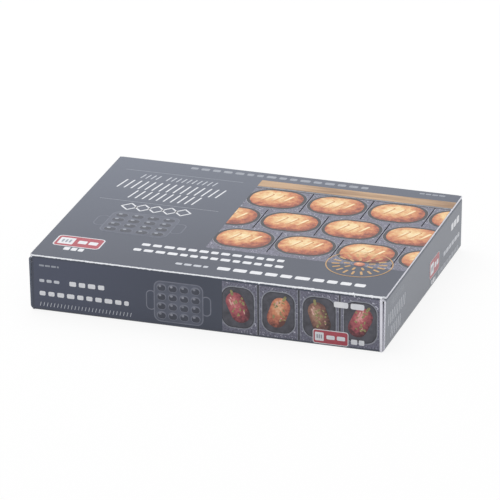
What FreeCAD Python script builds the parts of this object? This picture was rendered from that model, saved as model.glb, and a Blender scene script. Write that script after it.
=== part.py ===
import FreeCAD
import Part
import Sketcher
import math
import os

# A tuck-end carton of printed fluted board, packed with a cast-iron takoyaki plate of sixteen cups.
# +X runs along the carton to its right end, +Y to its back, +Z up. The origin is the middle of the
# footprint, on the surface that the carton stands on. Both ends close in the same way: a closure
# creased to the bottom panel stands up and its tuck flap slips in under the top panel, over two
# dust flaps that are creased to the front and back panels.

SIZES = (
    # name, millimetres (degrees or a count where it says so), what it is
    ("board", 1.4, "thickness of the fluted carton board"),
    ("fold_radius", 2, "outer radius of the sleeve's long folds"),
    ("corner_radius", 1, "outer radius of the dust flaps' upright folds"),
    ("side_room", 1.9, "room between the tray and the glue flap, and as much again in front"),
    ("head_room", 3.8, "room between the leaflet and the top panel"),
    ("closure_gap", 0.6, "gap between a closure and the dust flaps behind it"),
    ("closure_relief", 1.2, "how far a closure's side edge is set in from the carton's side"),
    ("closure_lean", 1, "degrees that a tucked closure leans out"),
    ("top_setback", 0.3, "how far the top panel's left cut edge is set in from the closure's crease"),
    ("top_overhang", 0.9, "how far its right cut edge runs past the closure's crease"),
    ("back_lift", 0.4, "how far the back panel's cut edge is above the surface"),
    ("tuck_clearance", 0.6, "room between the top panel and a closure's top fold"),
    ("tuck_length", 15, "length of a tuck flap"),
    ("tuck_droop", 10, "degrees that a tuck flap is folded past square"),
    ("tuck_corner", 9, "radius of a tuck flap's free corners"),
    ("tuck_relief", 0.8, "how far a tuck flap is narrower than its closure, each side"),
    ("dust_foot", 2.4, "height of a dust flap's lower edge at its fold"),
    ("dust_shoulder", 5.2, "drop from the carton's top to a dust flap's upper edge"),
    ("dust_mitre", 42, "degrees that a dust flap's lower edge rises"),
    ("dust_taper", 14, "degrees that a dust flap's upper edge falls"),
    ("dust_tip", 10.4, "height of a dust flap's free edge"),
    ("glue_height", 14, "height of the glue flap above its fold"),
    ("glue_taper", 9, "how far the glue flap's ends slope in"),
    ("cups_along", 4, "count of cups along X"),
    ("cups_across", 4, "count of cups along Y"),
    ("cup_mouth", 37, "diameter of a cup at the cooking face"),
    ("cup_draft", 0.7, "how much a cup's straight neck closes in, on the radius"),
    ("cup_neck", 3, "height of a cup's straight neck"),
    ("cup_lip", 0.9, "width of the eased edge round a cup's mouth"),
    ("cup_land", 4.7, "flat iron between the eased edges of neighbouring cups"),
    ("cup_flat", 0.7, "how much is cast flat off the foot of a cup"),
    ("iron_wall", 3.4, "wall of a cup"),
    ("web", 4, "thickness of the plate between its cups"),
    ("rim_land", 4.35, "flat iron between the outer cups and the rim"),
    ("rim_width", 4.5, "width of the raised rim"),
    ("rim_height", 4.5, "height of the rim above the cooking face"),
    ("rim_ease", 1, "rounding of the rim's top edges"),
    ("plate_corner", 20, "corner radius of the plate"),
    ("score_width", 1.4, "width of the scored lines between cups"),
    ("score_depth", 0.9, "depth of the scored lines"),
    ("loop_width", 71, "width of the finger hole in a handle, along the plate's end"),
    ("loop_depth", 18.3, "how far the finger hole reaches out"),
    ("loop_corner", 6.5, "corner radius of the finger hole"),
    ("loop_root", 3.2, "iron between the plate's end and the finger hole"),
    ("handle_bar", 9.5, "width of the bar round the finger hole"),
    ("handle_drop", 1.2, "how far a handle's top is below the rim's"),
    ("handle_lift", 0.8, "how far a handle's underside is above the plate's"),
    ("handle_ease", 2, "rounding of a handle's edges"),
    ("handle_room", 7.6, "room past a handle's tip, inside the end of the packing"),
    ("packing_board", 3, "thickness of the kraft packing board"),
    ("packing_room", 0.5, "room round a loose piece of the packing"),
    ("plate_room", 0.8, "room between the plate and what holds it"),
    ("tray_lap", 0.6, "how far the tray's walls stand above the plate's rim"),
    ("cradle_drop", 0.4, "how far the cradles' posts are below the plate's rim"),
    ("shelf_room", 2.7, "room between a handle and the cradle's shelf under it"),
    ("window_room", 6, "room beside a handle in the cradle's window"),
    ("pad_board", 5, "thickness of the cover pad, of double-wall kraft board"),
    ("pad_overhang", 17.5, "how far the cover pad runs past the plate's ends"),
    ("leaflet_length", 148, "length of the folded leaflet"),
    ("leaflet_width", 105, "width of the folded leaflet"),
    ("leaflet_ply", 0.35, "thickness of one ply of the leaflet"),
    ("leaflet_open", 0.3, "gap between the leaflet's plies"),
)

doc = FreeCAD.newDocument("takoyaki_plate_carton")
sheet = doc.addObject("Spreadsheet::Sheet", "Sizes")
for row, (alias, number, note) in enumerate(SIZES, start=1):
    sheet.set(f"A{row}", alias)
    sheet.set(f"B{row}", str(number))
    sheet.set(f"C{row}", note)
    sheet.setAlias(f"B{row}", alias)
doc.recompute()

# Sizes and places that several pieces share, as expressions on the sheet. The plate comes first,
# then the packing round it, and the carton last.
CUP_PITCH = "(Sizes.cup_mouth + 2 * Sizes.cup_lip + Sizes.cup_land)"
CUP_EDGE = "(Sizes.cup_mouth / 2 + Sizes.cup_lip + Sizes.rim_land + Sizes.rim_width)"
FIRST_CUP_X = f"((Sizes.cups_along - 1) / 2 * {CUP_PITCH})"
FIRST_CUP_Y = f"((Sizes.cups_across - 1) / 2 * {CUP_PITCH})"
PLATE_HALF_X = f"({FIRST_CUP_X} + {CUP_EDGE})"
PLATE_HALF_Y = f"({FIRST_CUP_Y} + {CUP_EDGE})"
BOWL_RADIUS = "(Sizes.cup_mouth / 2 - Sizes.cup_draft)"
HANDLE_TIP = f"({PLATE_HALF_X} + Sizes.loop_root + Sizes.loop_depth + Sizes.handle_bar)"
HANDLE_HALF = "(Sizes.loop_width / 2 + Sizes.handle_bar)"
HANDLE_CORNER = "(Sizes.loop_corner + Sizes.handle_bar)"
HANDLE_TOP = "(Sizes.rim_height - Sizes.handle_drop)"
HANDLE_UNDERSIDE = "(Sizes.handle_lift - Sizes.web)"

PACKING_FLOOR = "(Sizes.board + Sizes.packing_board)"
PLATE_FOOT = f"(Sizes.cup_neck + {BOWL_RADIUS} + Sizes.iron_wall - Sizes.cup_flat)"
COOKING_FACE = f"({PACKING_FLOOR} + {PLATE_FOOT})"
RIM_TOP = f"({COOKING_FACE} + Sizes.rim_height)"
PAD_TOP = f"({RIM_TOP} + Sizes.pad_board)"
LEAFLET_TOP = f"({PAD_TOP} + 2 * Sizes.leaflet_ply + Sizes.leaflet_open)"
TRAY_INSIDE = f"({PLATE_HALF_Y} + Sizes.plate_room)"
TRAY_OUTSIDE = f"({TRAY_INSIDE} + Sizes.packing_board)"
PACKING_HALF = f"({TRAY_INSIDE} - Sizes.packing_room)"
PACKING_END = f"({HANDLE_TIP} + Sizes.handle_room)"

PANEL_END = f"({PACKING_END} + Sizes.packing_room)"
DUST_FACE = f"({PANEL_END} + Sizes.board)"
HALF_LENGTH = f"({DUST_FACE} + Sizes.closure_gap + Sizes.board)"
END_FOLD = f"({HALF_LENGTH} - {PANEL_END})"
END_FOLD_RISE = f"({END_FOLD} - sqrt({END_FOLD} ^ 2 - ({END_FOLD} - Sizes.board) ^ 2))"
GLUE_FACE = f"({TRAY_OUTSIDE} + Sizes.side_room + Sizes.board)"
HALF_DEPTH = f"({GLUE_FACE} + Sizes.board)"
TOP_UNDERSIDE = f"({LEAFLET_TOP} + Sizes.head_room)"
CARTON_TOP = f"({TOP_UNDERSIDE} + Sizes.board)"
CLOSURE_TOP = f"({TOP_UNDERSIDE} - Sizes.tuck_clearance)"
FOLD_TOP = f"({CARTON_TOP} - Sizes.fold_radius)"
INNER_RADIUS = "(Sizes.fold_radius - Sizes.board)"
FOLD_ANGLE = "((90 + Sizes.tuck_droop) * 1deg)"
LEAN = "(Sizes.closure_lean * 1deg)"


def value(expression):
    """The number that an expression on the sheet gives now."""
    return float(sheet.evalExpression(expression))


def new_body(label):
    body = doc.addObject("PartDesign::Body", label)
    body.Label = label
    return body


def origin_feature(body, role):
    return next(o for o in body.Origin.OriginFeatures if o.Role == role)


def new_sketch(body, plane, name, along=None, across=None, up=None):
    """A sketch on one of the body's origin planes, moved by expressions: along and across in the
    plane, and up along its normal."""
    sketch = body.newObject("Sketcher::SketchObject", name)
    sketch.AttachmentSupport = (origin_feature(body, plane), [""])
    sketch.MapMode = "FlatFace"
    for axis, expression in (("x", along), ("y", across), ("z", up)):
        if expression:
            sketch.setExpression(f"AttachmentOffset.Base.{axis}", expression)
    return sketch


def arc_between(start, end, radius, turn):
    """The shorter arc from start to end. turn is 1 for anticlockwise and -1 for clockwise."""
    chord = end - start
    middle = (start + end) / 2
    left = FreeCAD.Vector(-chord.y, chord.x, 0).normalize()
    rise = math.sqrt(max(radius**2 - (chord.Length / 2) ** 2, 0))
    centre = middle + left * rise * turn
    first, last = (start, end) if turn > 0 else (end, start)
    angles = [math.atan2(p.y - centre.y, p.x - centre.x) for p in (first, last)]
    if angles[1] < angles[0]:
        angles[1] += 2 * math.pi
    circle = Part.Circle(centre, FreeCAD.Vector(0, 0, 1), radius)
    return Part.ArcOfCircle(circle, *angles)


def closed_path(sketch, corners):
    """Draws a closed outline. Each corner is (x, y) or (x, y, radius, turn) in expressions, where
    radius and turn make the edge that leaves that corner an arc. Every corner is bound to the sheet."""
    points = [FreeCAD.Vector(value(c[0]), value(c[1]), 0) for c in corners]
    count = len(corners)
    edges = []
    for i, corner in enumerate(corners):
        start, end = points[i], points[(i + 1) % count]
        if len(corner) == 2:
            index = sketch.addGeometry(Part.LineSegment(start, end), False)
            edges.append((index, 1, 2))
        else:
            arc = arc_between(start, end, value(corner[2]), corner[3])
            index = sketch.addGeometry(arc, False)
            edges.append((index, 1, 2) if corner[3] > 0 else (index, 2, 1))
    for i in range(count):
        index, _, end = edges[i]
        following, start, _ = edges[(i + 1) % count]
        sketch.addConstraint(Sketcher.Constraint("Coincident", index, end, following, start))
    for i, corner in enumerate(corners):
        index, start, _ = edges[i]
        for kind, axis, expression, place in (
            ("DistanceX", -2, corner[0], points[i].x),
            ("DistanceY", -1, corner[1], points[i].y),
        ):
            if expression == "0":
                sketch.addConstraint(Sketcher.Constraint("PointOnObject", index, start, axis))
            else:
                bound = Sketcher.Constraint(kind, -1, 1, index, start, place)
                at = sketch.addConstraint(bound)
                sketch.setExpression(f"Constraints[{at}]", expression)
        if len(corner) > 2:
            at = sketch.addConstraint(Sketcher.Constraint("Radius", index, value(corner[2])))
            sketch.setExpression(f"Constraints[{at}]", corner[2])


def rectangle(sketch, low_x, high_x, low_y, high_y):
    closed_path(sketch, [(low_x, low_y), (high_x, low_y), (high_x, high_y), (low_x, high_y)])


def rounded_rectangle(sketch, half_x, half_y, radius):
    closed_path(
        sketch,
        [
            (f"-({half_x} - {radius})", f"-{half_y}"),
            (f"{half_x} - {radius}", f"-{half_y}", radius, 1),
            (half_x, f"-({half_y} - {radius})"),
            (half_x, f"{half_y} - {radius}", radius, 1),
            (f"{half_x} - {radius}", half_y),
            (f"-({half_x} - {radius})", half_y, radius, 1),
            (f"-{half_x}", f"{half_y} - {radius}"),
            (f"-{half_x}", f"-({half_y} - {radius})", radius, 1),
        ],
    )


def pad(body, sketch, name, length, symmetric=False, reverse=False):
    feature = body.newObject("PartDesign::Pad", name)
    feature.Profile = sketch
    feature.setExpression("Length", length)
    feature.SideType = "Symmetric" if symmetric else "One side"
    feature.Reversed = reverse
    sketch.Visibility = False
    return feature


def pocket(body, sketch, name, depth, reverse=False):
    """Cuts along the sketch's normal when reverse is True, and against it otherwise."""
    feature = body.newObject("PartDesign::Pocket", name)
    feature.Profile = sketch
    feature.setExpression("Length", depth)
    feature.Reversed = reverse
    sketch.Visibility = False
    return feature


def round_edges(body, name, radius, wanted):
    """Rounds the edges of the body's tip whose middle point passes the test."""
    doc.recompute()
    tip = body.Tip
    names = []
    for number, edge in enumerate(tip.Shape.Edges, start=1):
        middle = edge.valueAt((edge.FirstParameter + edge.LastParameter) / 2)
        if wanted(edge, middle):
            names.append(f"Edge{number}")
    feature = body.newObject("PartDesign::Fillet", name)
    feature.Base = (tip, names)
    feature.setExpression("Radius", radius)
    return feature


# ---- the sleeve: four panels and the glue flap ----


def top_panel():
    """The display panel, with the folds that carry the front and back panels. Its cut ends cover
    the closures' tuck flaps, and it is cut a little off centre, towards the right."""
    body = new_body("top_panel")
    flat = f"({HALF_DEPTH} - Sizes.fold_radius)"
    inner = f"({HALF_DEPTH} - Sizes.board)"
    section = new_sketch(body, "YZ_Plane", "top_section")
    closed_path(
        section,
        [
            (f"-{HALF_DEPTH}", FOLD_TOP),
            (f"-{inner}", FOLD_TOP, INNER_RADIUS, -1),
            (f"-{flat}", TOP_UNDERSIDE),
            (flat, TOP_UNDERSIDE, INNER_RADIUS, -1),
            (inner, FOLD_TOP),
            (HALF_DEPTH, FOLD_TOP, "Sizes.fold_radius", 1),
            (flat, CARTON_TOP),
            (f"-{flat}", CARTON_TOP, "Sizes.fold_radius", 1),
        ],
    )
    pad(body, section, "top_with_folds", f"2 * {DUST_FACE}", symmetric=True)
    cover = new_sketch(body, "XY_Plane", "top_outline", up=TOP_UNDERSIDE)
    left_edge = f"({HALF_LENGTH} - Sizes.top_setback)"
    right_edge = f"({HALF_LENGTH} + Sizes.top_overhang)"
    rectangle(cover, f"-{left_edge}", right_edge, f"-{flat}", flat)
    pad(body, cover, "top_tuck_cover", "Sizes.board")
    return body


def bottom_panel():
    """The panel that the carton stands on, with the fold to the front panel and the one to the
    glue flap. Its ends carry the closures, and their underside rises into the end folds."""
    body = new_body("bottom_panel")
    front_flat = f"({HALF_DEPTH} - Sizes.fold_radius)"
    front_inner = f"({HALF_DEPTH} - Sizes.board)"
    back_flat = f"({GLUE_FACE} - Sizes.fold_radius)"
    back_inner = f"({GLUE_FACE} - Sizes.board)"
    section = new_sketch(body, "YZ_Plane", "bottom_section")
    closed_path(
        section,
        [
            (f"-{HALF_DEPTH}", "Sizes.fold_radius", "Sizes.fold_radius", 1),
            (f"-{front_flat}", "0"),
            (back_flat, "0", "Sizes.fold_radius", 1),
            (GLUE_FACE, "Sizes.fold_radius"),
            (back_inner, "Sizes.fold_radius", INNER_RADIUS, -1),
            (back_flat, "Sizes.board"),
            (f"-{front_flat}", "Sizes.board", INNER_RADIUS, -1),
            (f"-{front_inner}", "Sizes.fold_radius"),
        ],
    )
    pad(body, section, "bottom_with_folds", f"2 * {PANEL_END}", symmetric=True)
    ends = new_sketch(body, "XZ_Plane", "bottom_ends", up=front_flat)
    reach = f"({HALF_LENGTH} - Sizes.board)"
    closed_path(
        ends,
        [
            (f"-{PANEL_END}", "0"),
            (PANEL_END, "0", END_FOLD, 1),
            (reach, END_FOLD_RISE),
            (reach, "Sizes.board"),
            (f"-{reach}", "Sizes.board"),
            (f"-{reach}", END_FOLD_RISE, END_FOLD, 1),
        ],
    )
    pad(body, ends, "bottom_to_closures", f"{front_flat} + {back_flat}", reverse=True)
    return body


def side_panel(label, side):
    """The front panel (side -1) or the back panel (side 1), between the folds of the dust flaps."""
    body = new_body(label)
    outer = HALF_DEPTH
    inner = f"({HALF_DEPTH} - Sizes.board)"
    foot = "Sizes.fold_radius" if side < 0 else "Sizes.back_lift"
    section = new_sketch(body, "YZ_Plane", f"{label}_section")
    low, high = (f"-{outer}", f"-{inner}") if side < 0 else (inner, outer)
    rectangle(section, low, high, foot, FOLD_TOP)
    pad(body, section, f"{label}_board", f"2 * {PANEL_END}", symmetric=True)
    return body


def glue_flap():
    """Stands up from the bottom panel's back fold, glued to the inside of the back panel."""
    body = new_body("glue_flap")
    low = f"({PANEL_END} - Sizes.board)"
    high = f"({low} - Sizes.glue_taper)"
    top = "Sizes.fold_radius + Sizes.glue_height"
    outline = new_sketch(body, "XZ_Plane", "glue_outline", up=f"-({GLUE_FACE} - Sizes.board)")
    closed_path(
        outline,
        [
            (f"-{low}", "Sizes.fold_radius"),
            (low, "Sizes.fold_radius"),
            (high, top),
            (f"-{high}", top),
        ],
    )
    pad(body, outline, "glue_board", "Sizes.board", reverse=True)
    return body


# ---- the two ends ----


def closure(label, end):
    """Stands on the crease at the bottom panel's end, which is this body's own origin, with a
    rounded foot there, and ends in the rounded fold that its tuck flap continues. end is 1 on the
    right and -1 on the left."""
    body = new_body(label)
    sign = "" if end > 0 else "-1 * "
    centre_x = "Sizes.fold_radius"
    centre_z = f"({CLOSURE_TOP} - Sizes.fold_radius)"
    section = new_sketch(body, "XZ_Plane", f"{label}_section")
    closed_path(
        section,
        [
            ("0", END_FOLD),
            ("0", centre_z, "Sizes.fold_radius", end),
            (
                f"{sign}(-{centre_x} + Sizes.fold_radius * cos({FOLD_ANGLE}))",
                f"{centre_z} + Sizes.fold_radius * sin({FOLD_ANGLE})",
            ),
            (
                f"{sign}(-{centre_x} + {INNER_RADIUS} * cos({FOLD_ANGLE}))",
                f"{centre_z} + {INNER_RADIUS} * sin({FOLD_ANGLE})",
                INNER_RADIUS,
                -end,
            ),
            (f"{sign}(-Sizes.board)", centre_z),
            (f"{sign}(-Sizes.board)", END_FOLD_RISE, END_FOLD, end),
        ],
    )
    width = f"2 * ({HALF_DEPTH} - Sizes.closure_relief)"
    pad(body, section, f"{label}_board", width, symmetric=True)
    body.Placement.Rotation = FreeCAD.Rotation(FreeCAD.Vector(0, 1, 0), 1)
    body.setExpression("Placement.Base.x", f"{end} * {HALF_LENGTH}")
    body.setExpression("Placement.Rotation.Angle", f"{end} * Sizes.closure_lean")
    return body


def tuck_pivot(end):
    """Where a tuck flap's crease is, in the carton's frame, as expressions for X and Z."""
    x = f"(-Sizes.fold_radius + {INNER_RADIUS} * cos({FOLD_ANGLE}))"
    z = f"({CLOSURE_TOP} - Sizes.fold_radius + {INNER_RADIUS} * sin({FOLD_ANGLE}))"
    return (
        f"{end} * ({HALF_LENGTH} + {x} * cos({LEAN}) + {z} * sin({LEAN}))",
        f"{z} * cos({LEAN}) - {x} * sin({LEAN})",
    )


def tuck_flap(label, end):
    """Runs in from the closure's top fold, a little down from level. Its own origin is its crease."""
    body = new_body(label)
    half = f"({HALF_DEPTH} - Sizes.closure_relief - Sizes.tuck_relief)"
    straight = f"({half} - Sizes.tuck_corner)"
    sign = "-1 * " if end > 0 else ""
    outline = new_sketch(body, "XY_Plane", f"{label}_outline")
    neck = "(Sizes.tuck_length - Sizes.tuck_corner)"
    closed_path(
        outline,
        [
            ("0", f"-{half}"),
            (f"{sign}{neck}", f"-{half}", "Sizes.tuck_corner", -end),
            (f"{sign}Sizes.tuck_length", f"-{straight}"),
            (f"{sign}Sizes.tuck_length", straight, "Sizes.tuck_corner", -end),
            (f"{sign}{neck}", half),
            ("0", half),
        ],
    )
    pad(body, outline, f"{label}_board", "Sizes.board")
    x, z = tuck_pivot(end)
    body.Placement.Rotation = FreeCAD.Rotation(FreeCAD.Vector(0, 1, 0), 1)
    body.setExpression("Placement.Base.x", x)
    body.setExpression("Placement.Base.z", z)
    body.setExpression("Placement.Rotation.Angle", f"{end} * (Sizes.closure_lean - Sizes.tuck_droop)")
    return body


def dust_flap(label, end, side):
    """Folded in from the front (side -1) or back (side 1) panel. Its lower edge is mitred so that
    the closure passes it, and its upper edge falls away from the tuck flap. It is as long as those
    two edges let it be."""
    body = new_body(label)
    head = f"({CARTON_TOP} - Sizes.dust_shoulder)"
    fall = "tan(Sizes.dust_taper * 1deg)"
    rise = "tan(Sizes.dust_mitre * 1deg)"
    length = f"(({head} - Sizes.dust_foot - Sizes.dust_tip) / ({rise} + {fall}))"
    tip = f"({HALF_DEPTH} - {length})"
    sign = "" if side > 0 else "-1 * "
    start = PANEL_END if end > 0 else f"-{DUST_FACE}"
    outline = new_sketch(body, "YZ_Plane", f"{label}_outline", up=start)
    closed_path(
        outline,
        [
            (f"{sign}{HALF_DEPTH}", "Sizes.dust_foot"),
            (f"{sign}{HALF_DEPTH}", head),
            (f"{sign}{tip}", f"{head} - {length} * {fall}"),
            (f"{sign}{tip}", f"Sizes.dust_foot + {length} * {rise}"),
        ],
    )
    pad(body, outline, f"{label}_board", "Sizes.board")
    corner = FreeCAD.Vector(end * value(DUST_FACE), side * value(HALF_DEPTH), 0)

    def is_fold(edge, middle):
        return math.hypot(middle.x - corner.x, middle.y - corner.y) < value("Sizes.board") / 10

    round_edges(body, f"{label}_fold", "Sizes.corner_radius", is_fold)
    return body


# ---- the cast-iron plate ----


def bowl_section(body, name, radius, top, neck_width, foot):
    """Half the section of a bowl about the vertical line through the first cup's centre."""
    sketch = new_sketch(body, "XZ_Plane", name, along=f"-{FIRST_CUP_X}", up=FIRST_CUP_Y)
    neck = "-Sizes.cup_neck"
    if foot:
        depth = f"({radius} - Sizes.cup_flat)"
        flat = f"sqrt({radius} ^ 2 - {depth} ^ 2)"
        bottom = [("0", f"{neck} - {depth}"), (flat, f"{neck} - {depth}", radius, 1)]
    else:
        bottom = [("0", f"{neck} - {radius}", radius, 1)]
    closed_path(sketch, [("0", top), *bottom, (radius, neck), *neck_width])
    return sketch


def cup_grid(body, feature, name):
    """Repeats a feature made at the first cup over the whole grid of cups."""
    grid = body.newObject("PartDesign::MultiTransform", name)
    grid.Originals = [feature]
    rows = []
    for direction, count in (("X_Axis", "cups_along"), ("Y_Axis", "cups_across")):
        row = body.newObject("PartDesign::LinearPattern", f"{name}_{direction[0].lower()}")
        row.Direction = (origin_feature(body, direction), [""])
        row.setExpression("Length", f"(Sizes.{count} - 1) * {CUP_PITCH}")
        row.setExpression("Occurrences", f"Sizes.{count}")
        rows.append(row)
    grid.Transformations = rows
    body.Tip = grid
    return grid


def takoyaki_plate():
    """One casting: a web with a raised rim, a grid of cups that hang below it, scored lines
    between them and a loop handle at each end. Its own origin is the middle of the cooking face."""
    body = new_body("takoyaki_plate")
    web = new_sketch(body, "XY_Plane", "web_outline", up="-Sizes.web")
    rounded_rectangle(web, PLATE_HALF_X, PLATE_HALF_Y, "Sizes.plate_corner")
    pad(body, web, "web", "Sizes.web")

    rim = new_sketch(body, "XY_Plane", "rim_outline", up="-Sizes.web")
    rounded_rectangle(rim, PLATE_HALF_X, PLATE_HALF_Y, "Sizes.plate_corner")
    rounded_rectangle(
        rim,
        f"({PLATE_HALF_X} - Sizes.rim_width)",
        f"({PLATE_HALF_Y} - Sizes.rim_width)",
        "(Sizes.plate_corner - Sizes.rim_width)",
    )
    pad(body, rim, "rim", "Sizes.web + Sizes.rim_height")

    for end in (-1, 1):
        loop_handle(body, end)

    outer_radius = f"({BOWL_RADIUS} + Sizes.iron_wall)"
    shell = bowl_section(
        body, "bowl_outside", outer_radius, "-Sizes.web / 2", [(outer_radius, "-Sizes.web / 2")], True
    )
    bowl = body.newObject("PartDesign::Revolution", "bowl")
    bowl.Profile = shell
    bowl.ReferenceAxis = (shell, ["V_Axis"])
    bowl.Angle = 360
    cup_grid(body, bowl, "bowls")

    mouth = "Sizes.cup_mouth / 2"
    lip = "Sizes.cup_lip"
    inside = bowl_section(
        body,
        "cup_inside",
        BOWL_RADIUS,
        "Sizes.cup_lip",
        [
            (mouth, f"-{lip}"),
            (f"{mouth} + {lip}", "0"),
            (f"{mouth} + {lip}", lip),
        ],
        False,
    )
    cup = body.newObject("PartDesign::Groove", "cup")
    cup.Profile = inside
    cup.ReferenceAxis = (inside, ["V_Axis"])
    cup.Angle = 360
    cup_grid(body, cup, "cups")

    score_lines(body)
    ease_edges(body)
    body.setExpression("Placement.Base.z", COOKING_FACE)
    return body


def loop_handle(body, end):
    """A flat loop that stands out from the plate's end, with a finger hole through it."""
    name = "right_handle" if end > 0 else "left_handle"
    sign = "" if end > 0 else "-1 * "
    start = f"({PLATE_HALF_X} - Sizes.rim_width / 2)"
    bend_x = f"({HANDLE_TIP} - {HANDLE_CORNER})"
    bend_y = f"({HANDLE_HALF} - {HANDLE_CORNER})"
    outline = new_sketch(body, "XY_Plane", f"{name}_outline", up=HANDLE_UNDERSIDE)
    closed_path(
        outline,
        [
            (f"{sign}{start}", f"-{HANDLE_HALF}"),
            (f"{sign}{bend_x}", f"-{HANDLE_HALF}", HANDLE_CORNER, end),
            (f"{sign}{HANDLE_TIP}", f"-{bend_y}"),
            (f"{sign}{HANDLE_TIP}", bend_y, HANDLE_CORNER, end),
            (f"{sign}{bend_x}", HANDLE_HALF),
            (f"{sign}{start}", HANDLE_HALF),
        ],
    )
    thickness = f"{HANDLE_TOP} - {HANDLE_UNDERSIDE}"
    pad(body, outline, name, thickness)
    centre = f"{end} * ({PLATE_HALF_X} + Sizes.loop_root + Sizes.loop_depth / 2)"
    hole = new_sketch(body, "XY_Plane", f"{name}_hole_outline", along=centre, up=HANDLE_TOP)
    rounded_rectangle(hole, "(Sizes.loop_depth / 2)", "(Sizes.loop_width / 2)", "Sizes.loop_corner")
    pocket(body, hole, f"{name}_hole", thickness)


def score_lines(body):
    """Scored lines between the rows of cups, from rim to rim."""
    half = "Sizes.score_width / 2"
    for direction, count, reach in (
        ("x", "cups_along", PLATE_HALF_Y),
        ("y", "cups_across", PLATE_HALF_X),
    ):
        first = f"-(Sizes.{count} / 2 - 1) * {CUP_PITCH}"
        end = f"({reach} - Sizes.rim_width)"
        sketch = new_sketch(body, "XY_Plane", f"score_outline_{direction}")
        if direction == "x":
            rectangle(sketch, f"{first} - {half}", f"{first} + {half}", f"-{end}", end)
        else:
            rectangle(sketch, f"-{end}", end, f"{first} - {half}", f"{first} + {half}")
        line = pocket(body, sketch, f"score_{direction}", "Sizes.score_depth")
        rows = body.newObject("PartDesign::LinearPattern", f"scores_{direction}")
        rows.Originals = [line]
        rows.Direction = (origin_feature(body, f"{direction.upper()}_Axis"), [""])
        rows.setExpression("Length", f"(Sizes.{count} - 2) * {CUP_PITCH}")
        rows.setExpression("Occurrences", f"Sizes.{count} - 1")
        body.Tip = rows


def ease_edges(body):
    """Rounds the handles' long edges, and then the rim's top edges."""
    handle_x = value(f"{PLATE_HALF_X} + Sizes.loop_root / 2")
    levels = (value(HANDLE_TOP), value(HANDLE_UNDERSIDE))
    close = value("Sizes.handle_drop") / 10

    def is_handle_edge(edge, middle):
        return abs(middle.x) > handle_x and any(abs(middle.z - z) < close for z in levels)

    def is_rim_edge(edge, middle):
        return abs(middle.z - value("Sizes.rim_height")) < close

    round_edges(body, "handle_rounding", "Sizes.handle_ease", is_handle_edge)
    round_edges(body, "rim_rounding", "Sizes.rim_ease", is_rim_edge)


# ---- the packing ----


def inner_tray():
    """Kraft tray under the plate, turned up along the front and back."""
    body = new_body("inner_tray")
    top = f"({RIM_TOP} + Sizes.tray_lap)"
    section = new_sketch(body, "YZ_Plane", "tray_section")
    closed_path(
        section,
        [
            (f"-{TRAY_OUTSIDE}", "Sizes.board"),
            (TRAY_OUTSIDE, "Sizes.board"),
            (TRAY_OUTSIDE, top),
            (TRAY_INSIDE, top),
            (TRAY_INSIDE, PACKING_FLOOR),
            (f"-{TRAY_INSIDE}", PACKING_FLOOR),
            (f"-{TRAY_INSIDE}", top),
            (f"-{TRAY_OUTSIDE}", top),
        ],
    )
    pad(body, section, "tray_board", f"2 * {PACKING_END}", symmetric=True)
    return body


def end_cradle(label, end):
    """Folded kraft block that keeps the plate from the carton's end. Its shelf is under the
    handle, its posts stand beside it, and it is hollow from below."""
    body = new_body(label)
    sign = "" if end > 0 else "-1 * "
    near, far = f"({PLATE_HALF_X} + Sizes.plate_room)", PACKING_END
    post_top = f"({RIM_TOP} - Sizes.cradle_drop)"
    shelf = f"({COOKING_FACE} + {HANDLE_UNDERSIDE} - Sizes.shelf_room)"
    window = f"({HANDLE_HALF} + Sizes.window_room)"
    section = new_sketch(body, "YZ_Plane", f"{label}_section", up=near if end > 0 else f"-{far}")
    closed_path(
        section,
        [
            (f"-{PACKING_HALF}", PACKING_FLOOR),
            (PACKING_HALF, PACKING_FLOOR),
            (PACKING_HALF, post_top),
            (window, post_top),
            (window, shelf),
            (f"-{window}", shelf),
            (f"-{window}", post_top),
            (f"-{PACKING_HALF}", post_top),
        ],
    )
    pad(body, section, f"{label}_block", f"{far} - {near}")
    wall = "Sizes.packing_board"
    side = f"({PACKING_HALF} - {wall})"
    low_x, high_x = f"{sign}({near} + {wall})", f"{sign}({far} - {wall})"
    under_shelf = new_sketch(body, "XY_Plane", f"{label}_hollow_outline", up=PACKING_FLOOR)
    rectangle(under_shelf, low_x, high_x, f"-{side}", side)
    depth = f"{shelf} - {wall} - {PACKING_FLOOR}"
    pocket(body, under_shelf, f"{label}_hollow", depth, reverse=True)
    for hand in (-1, 1):
        post = new_sketch(body, "XY_Plane", f"{label}_post_outline", up=PACKING_FLOOR)
        rectangle(post, low_x, high_x, f"{hand} * ({window} + {wall})", f"{hand} * {side}")
        depth = f"{post_top} - {wall} - {PACKING_FLOOR}"
        pocket(body, post, f"{label}_post_hollow", depth, reverse=True)
    return body


def cover_pad():
    """Kraft sheet that lies on the plate's rim, under the top panel."""
    body = new_body("cover_pad")
    outline = new_sketch(body, "XY_Plane", "cover_outline", up=RIM_TOP)
    reach = f"({PLATE_HALF_X} + Sizes.pad_overhang)"
    rectangle(outline, f"-{reach}", reach, f"-{PACKING_HALF}", PACKING_HALF)
    pad(body, outline, "cover_board", "Sizes.pad_board")
    return body


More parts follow.
